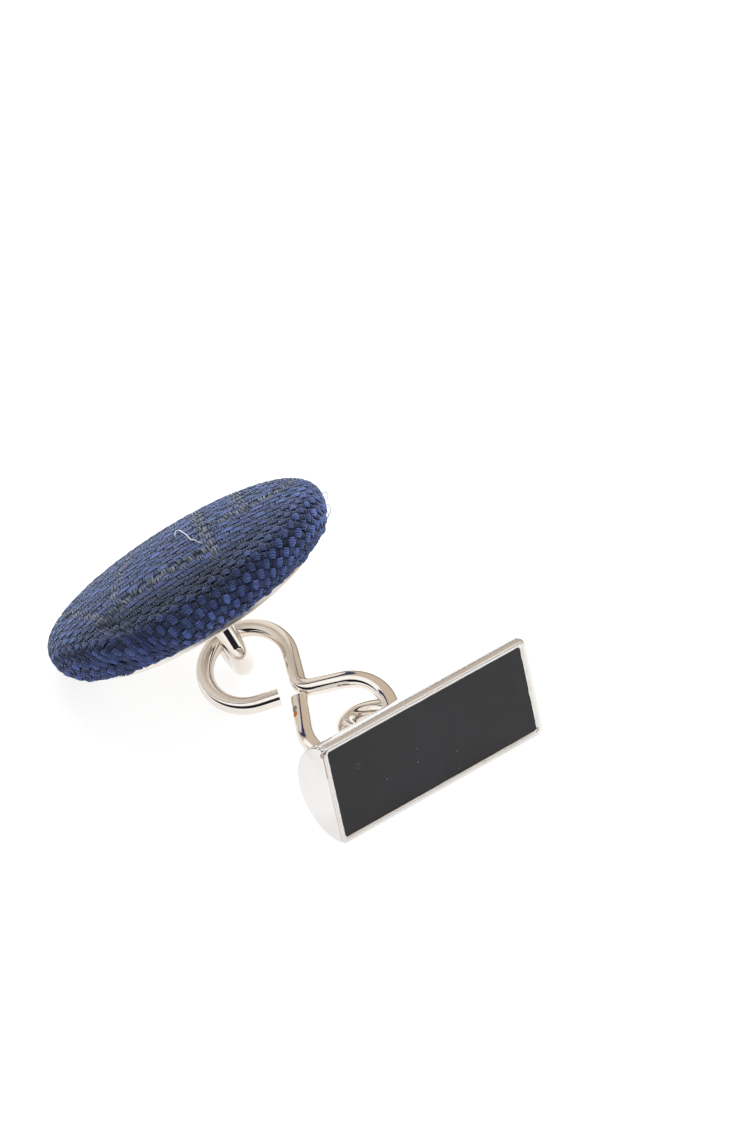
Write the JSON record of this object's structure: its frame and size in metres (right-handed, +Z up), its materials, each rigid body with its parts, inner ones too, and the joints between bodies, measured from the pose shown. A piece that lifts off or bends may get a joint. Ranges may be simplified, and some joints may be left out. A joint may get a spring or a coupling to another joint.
{
  "type": "chain-link cufflink",
  "caption": "Cufflink with a cloth-covered domed button and a half-round toggle bar with a black inlay, joined by a figure-eight wire link that lets both ends swing.",
  "frame": {"origin": "on the table, under the middle of the part's bounding box as it lies", "axes": "+X along the toggle bar, +Y from the bar to the button, +Z up from the table"},
  "size_m": [0.0218, 0.0294, 0.0131],
  "materials": {
    "cloth": "woven, navy with grey windowpane lines",
    "tinplate": "plain, hidden",
    "board": "pressed board, hidden",
    "plated_metal": "polished nickel plate",
    "black_enamel": "satin poured enamel"
  },
  "bodies": {
    "button": {"fabric_cover": "cloth", "button_shell": "tinplate", "filler_disc": "board", "backing_washer": "tinplate", "back_plate": "plated_metal", "button_eye": "plated_metal"},
    "link": {"link": "plated_metal"},
    "bar": {"bar_body": "plated_metal", "enamel_inlay": "black_enamel", "bar_eye": "plated_metal"}
  },
  "joints": [
    {"name": "link_swing", "type": "hinge", "parent": "button", "child": "link", "pos_m": [-0.00056, 0.00048, 0.00242], "axis": [0.397, 0.1554, -0.9046], "range_deg": [-55, 40]},
    {"name": "bar_swing", "type": "hinge", "parent": "link", "child": "bar", "pos_m": [0.00113, -0.0072, 0.00184], "axis": [0.397, 0.1554, -0.9046], "range_deg": [-25, 85]}
  ]
}
